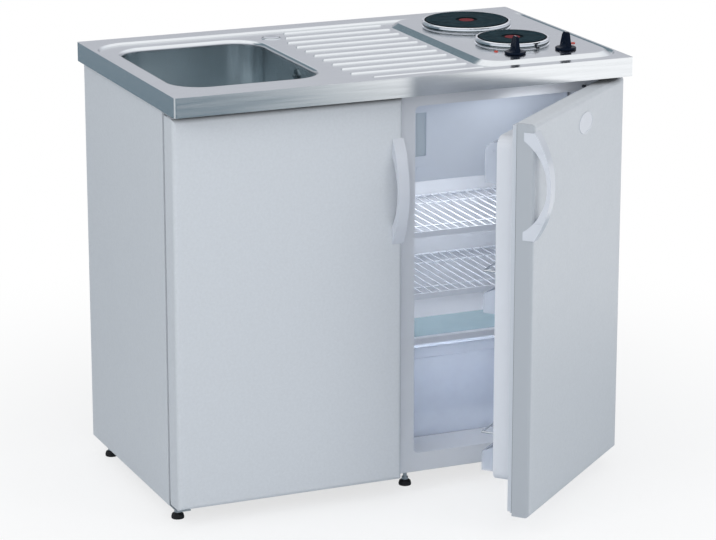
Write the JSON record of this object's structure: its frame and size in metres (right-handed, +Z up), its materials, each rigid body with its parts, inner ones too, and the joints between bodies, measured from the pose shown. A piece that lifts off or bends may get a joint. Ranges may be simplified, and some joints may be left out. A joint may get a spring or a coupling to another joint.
{
  "type": "kitchenette unit",
  "caption": "Compact kitchenette: pressed steel worktop with sink bowl, ribbed drainer and hotplates, over a sink cupboard and a refrigerator with its door ajar.",
  "frame": {"origin": "on the floor under the middle of the worktop", "axes": "+X to the right (hob side), +Y to the back (wall side), +Z up"},
  "size_m": [1.0017, 0.9039, 0.9416],
  "materials": {
    "steel": "fine linear grain",
    "core": "chipboard",
    "chrome": "polished",
    "white_plastic": "satin",
    "rubber_black": "matt",
    "plate_iron": "matt black with fine turned grain",
    "red_dot": "enamel",
    "zinc": "zinc plated",
    "switch_body": "matt",
    "black_plastic": "satin",
    "pilot_red": "clear red",
    "cabinet_paint": "pale grey-white, finely textured",
    "door_filling": "paper honeycomb",
    "foam": "foamed in place",
    "handle_plastic": "gloss white",
    "buffer_rubber": "soft grey",
    "liner_plastic": "gloss white",
    "clear_plastic": "clear",
    "aluminium": "satin",
    "shelf_wire": "white coated",
    "glass": "pale green edge",
    "black_metal": "black"
  },
  "bodies": {
    "unit": {"worktop": "steel", "worktop_core": "core", "bowl": "steel", "overflow_rosette": "chrome", "overflow_pipe": "white_plastic", "drain_flange": "chrome", "drain_body": "white_plastic", "waste_trap": "white_plastic", "tap_hole_cap": "chrome", "hotplate_rear": "plate_iron", "hotplate_front": "plate_iron", "hotplate_rings": "chrome", "hotplate_dots": "red_dot", "hotplate_clamps": "zinc", "hob_tray": "zinc", "hob_switches": "switch_body", "pilot_lamps": "pilot_red", "cabinet_side_left": "cabinet_paint", "cabinet_side_right": "cabinet_paint", "cabinet_floor": "cabinet_paint", "cabinet_rails": "cabinet_paint", "hinge_brackets": "zinc", "hinge_pins": "zinc", "fridge_case": "cabinet_paint", "fridge_foam": "foam", "fridge_liner": "liner_plastic", "freezer_box": "aluminium", "wire_shelves": "shelf_wire", "glass_shelf": "glass", "glass_shelf_trim": "white_plastic", "thermostat_box": "white_plastic", "lamp_cover": "clear_plastic", "compressor": "black_metal", "condenser": "black_metal", "foot_pads": "rubber_black", "foot_rods": "zinc"},
    "sink_door": {"sink_door_skin": "cabinet_paint", "sink_door_back": "cabinet_paint", "sink_door_filling": "door_filling", "sink_door_handle": "handle_plastic", "sink_door_bushes": "white_plastic", "sink_door_buffers": "buffer_rubber"},
    "fridge_door": {"fridge_door_skin": "cabinet_paint", "fridge_door_foam": "foam", "fridge_door_liner": "liner_plastic", "fridge_door_gasket": "buffer_rubber", "fridge_door_handle": "handle_plastic", "fridge_door_bushes": "white_plastic", "door_badge": "handle_plastic", "dairy_box": "clear_plastic", "bottle_racks": "clear_plastic", "rack_rails": "chrome"},
    "dairy_lid": {"dairy_lid": "clear_plastic"},
    "freezer_flap": {"freezer_flap": "liner_plastic"},
    "crisper": {"crisper": "clear_plastic"},
    "knob_left": {"hob_knob_left": "black_plastic"},
    "knob_right": {"hob_knob_right": "black_plastic"},
    "thermostat": {"thermostat_knob": "white_plastic"},
    "lamp_switch": {"lamp_switch_button": "black_plastic"},
    "plug": {"sink_plug": "rubber_black"}
  },
  "joints": [
    {"name": "fridge_door_hinge", "type": "hinge", "parent": "unit", "child": "fridge_door", "pos_m": [0.486, -0.242, 0.445], "axis": [0, 0, 1], "range_deg": [-41.3, 70]},
    {"name": "sink_door_hinge", "type": "hinge", "parent": "unit", "child": "sink_door", "pos_m": [-0.486, -0.242, 0.445], "axis": [0, 0, -1], "range_deg": [0, 110]},
    {"name": "dairy_lid_hinge", "type": "hinge", "parent": "fridge_door", "child": "dairy_lid", "pos_m": [0.24573, -0.33062, 0.772], "axis": [0.7513, 0.66, 0], "range_deg": [0, 70]},
    {"name": "freezer_flap_hinge", "type": "hinge", "parent": "unit", "child": "freezer_flap", "pos_m": [0.436, -0.121, 0.72], "axis": [0, 0, 1], "range_deg": [0, 36]},
    {"name": "crisper_slide", "type": "slide", "parent": "unit", "child": "crisper", "axis": [0, -1, 0], "range_m": [0, 0.065]},
    {"name": "hob_knob_left_turn", "type": "hinge", "parent": "unit", "child": "knob_left", "pos_m": [0.282, -0.194, 0.9], "axis": [0, 0, 1], "continuous": true},
    {"name": "hob_knob_right_turn", "type": "hinge", "parent": "unit", "child": "knob_right", "pos_m": [0.398, -0.194, 0.9], "axis": [0, 0, 1], "continuous": true},
    {"name": "thermostat_turn", "type": "hinge", "parent": "unit", "child": "thermostat", "pos_m": [0.415, -0.035, 0.578], "axis": [-1, 0, 0], "range_deg": [0, 270]},
    {"name": "lamp_switch_press", "type": "slide", "parent": "unit", "child": "lamp_switch", "axis": [0, 1, 0], "range_m": [0, 0.005], "stiffness_N_per_m": 200},
    {"name": "sink_plug_lift", "type": "slide", "parent": "unit", "child": "plug", "axis": [0, 0, 1], "range_m": [0, 0.08]}
  ]
}
